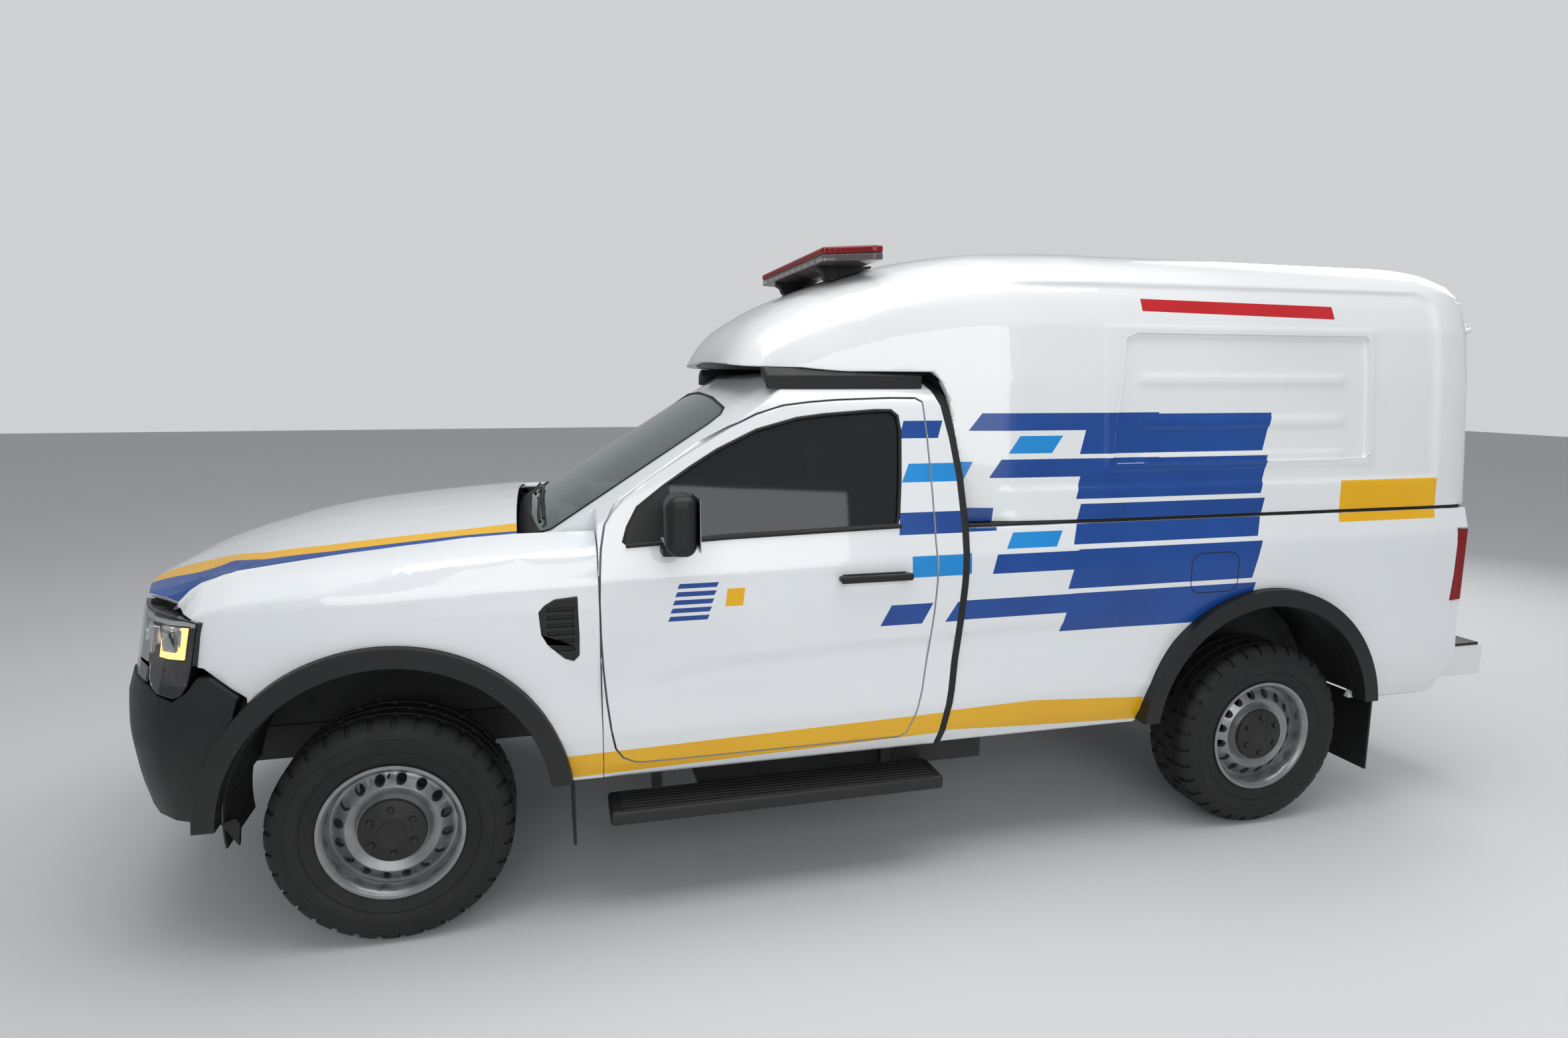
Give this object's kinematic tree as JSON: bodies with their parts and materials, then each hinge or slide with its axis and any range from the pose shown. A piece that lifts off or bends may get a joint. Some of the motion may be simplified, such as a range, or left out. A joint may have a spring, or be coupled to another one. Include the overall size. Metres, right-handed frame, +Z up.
{
  "type": "pickup ambulance",
  "caption": "Single-cab pickup ambulance with a moulded white patient capsule over the load bed, a red roof light bar and opening doors and bonnet.",
  "frame": {"origin": "on the floor under the middle of the vehicle's box", "axes": "+X towards the front of the vehicle, +Y to its left side, +Z up"},
  "size_m": [5.364, 2.3318, 2.31],
  "materials": {
    "white_paint": "gloss white paint",
    "white_gelcoat": "gloss white moulded shell",
    "black_plastic": "fine-grained black",
    "black_rubber": "matt black",
    "chassis_black": "satin black",
    "cast_metal": "as cast",
    "exhaust_steel": "dull steel",
    "wheel_silver": "silver paint",
    "tyre_black": "moulded",
    "tinted_glass": "tinted",
    "lamp_clear": "clear lens",
    "lamp_red": "red lens",
    "seat_cloth": "dark grey cloth",
    "trim_grey": "dark grey",
    "bench_vinyl": "blue vinyl"
  },
  "bodies": {
    "vehicle": {"ladder_frame": "chassis_black", "cab_shell": "white_paint", "windscreen": "tinted_glass", "cowl_panel": "black_plastic", "wing_left": "white_paint", "wing_right": "white_paint", "wing_vents": "black_plastic", "front_bumper": "black_plastic", "grille": "black_plastic", "headlamps": "lamp_clear", "arch_flares": "black_plastic", "wheel_liners": "black_plastic", "engine_block": "cast_metal", "radiator_panel": "chassis_black", "gearbox": "cast_metal", "front_suspension": "chassis_black", "rear_axle": "chassis_black", "leaf_springs": "chassis_black", "exhaust": "exhaust_steel", "fuel_tank": "black_plastic", "spare_wheel": "tyre_black", "load_bed": "white_paint", "capsule_shell": "white_gelcoat", "gap_seal": "black_rubber", "tail_lamps": "lamp_red", "rear_bumper": "white_paint", "mud_flaps": "black_rubber", "side_steps": "black_plastic", "light_bar": "lamp_red", "light_bar_brackets": "chassis_black", "dashboard": "trim_grey", "seats": "seat_cloth", "bench": "bench_vinyl"},
    "bonnet": {"bonnet": "white_paint"},
    "front_door_left": {"door_left": "white_paint", "door_glass_left": "tinted_glass", "mirror_left": "black_plastic"},
    "front_door_right": {"door_right": "white_paint", "door_glass_right": "tinted_glass", "mirror_right": "black_plastic"},
    "back_door_left": {"rear_door_left": "white_gelcoat", "rear_glass_left": "tinted_glass"},
    "back_door_right": {"rear_door_right": "white_gelcoat", "rear_glass_right": "tinted_glass"},
    "steering_wheel": {"steering_wheel": "trim_grey"},
    "steer_knuckle_left": {"knuckle_left": "cast_metal"},
    "steer_knuckle_right": {"knuckle_right": "cast_metal"},
    "wheel_front_left": {"tyre_front_left": "tyre_black", "rim_front_left": "wheel_silver"},
    "wheel_front_right": {"tyre_front_right": "tyre_black", "rim_front_right": "wheel_silver"},
    "wheel_rear_left": {"tyre_rear_left": "tyre_black", "rim_rear_left": "wheel_silver"},
    "wheel_rear_right": {"tyre_rear_right": "tyre_black", "rim_rear_right": "wheel_silver"}
  },
  "joints": [
    {"name": "bonnet_hinge", "type": "hinge", "parent": "vehicle", "child": "bonnet", "pos_m": [1.365, 0, 1.285], "axis": [0, -1, 0], "range_deg": [0, 50]},
    {"name": "door_left_hinge", "type": "hinge", "parent": "vehicle", "child": "front_door_left", "pos_m": [1.053, 0.935, 1], "axis": [0, 0, -1], "range_deg": [0, 65]},
    {"name": "door_right_hinge", "type": "hinge", "parent": "vehicle", "child": "front_door_right", "pos_m": [1.053, -0.935, 1], "axis": [0, 0, 1], "range_deg": [0, 65]},
    {"name": "back_door_left_hinge", "type": "hinge", "parent": "vehicle", "child": "back_door_left", "pos_m": [-2.497, 0.765, 1.4], "axis": [0, 0, -1], "range_deg": [0, 110]},
    {"name": "back_door_right_hinge", "type": "hinge", "parent": "vehicle", "child": "back_door_right", "pos_m": [-2.497, -0.765, 1.4], "axis": [0, 0, 1], "range_deg": [0, 110]},
    {"name": "steer_left", "type": "hinge", "parent": "vehicle", "child": "steer_knuckle_left", "pos_m": [1.765, 0.7, 0.374], "axis": [0, 0, 1], "range_deg": [-33, 33]},
    {"name": "steer_right", "type": "hinge", "parent": "vehicle", "child": "steer_knuckle_right", "pos_m": [1.765, -0.7, 0.374], "axis": [0, 0, 1], "range_deg": [-33, 33]},
    {"name": "steering_column", "type": "hinge", "parent": "vehicle", "child": "steering_wheel", "pos_m": [0.835, 0.38, 1.12], "axis": [-0.8829, 0, 0.4695], "range_deg": [-528, 528]},
    {"name": "wheel_front_left_spin", "type": "hinge", "parent": "steer_knuckle_left", "child": "wheel_front_left", "pos_m": [1.765, 0.81, 0.374], "axis": [0, 1, 0], "continuous": true},
    {"name": "wheel_front_right_spin", "type": "hinge", "parent": "steer_knuckle_right", "child": "wheel_front_right", "pos_m": [1.765, -0.81, 0.374], "axis": [0, 1, 0], "continuous": true},
    {"name": "wheel_rear_left_spin", "type": "hinge", "parent": "vehicle", "child": "wheel_rear_left", "pos_m": [-1.505, 0.81, 0.374], "axis": [0, 1, 0], "continuous": true},
    {"name": "wheel_rear_right_spin", "type": "hinge", "parent": "vehicle", "child": "wheel_rear_right", "pos_m": [-1.505, -0.81, 0.374], "axis": [0, 1, 0], "continuous": true}
  ],
  "couplings": [
    {"joint": "steer_right", "follows": "steer_left", "ratio": 1},
    {"joint": "steering_column", "follows": "steer_left", "ratio": 16}
  ]
}
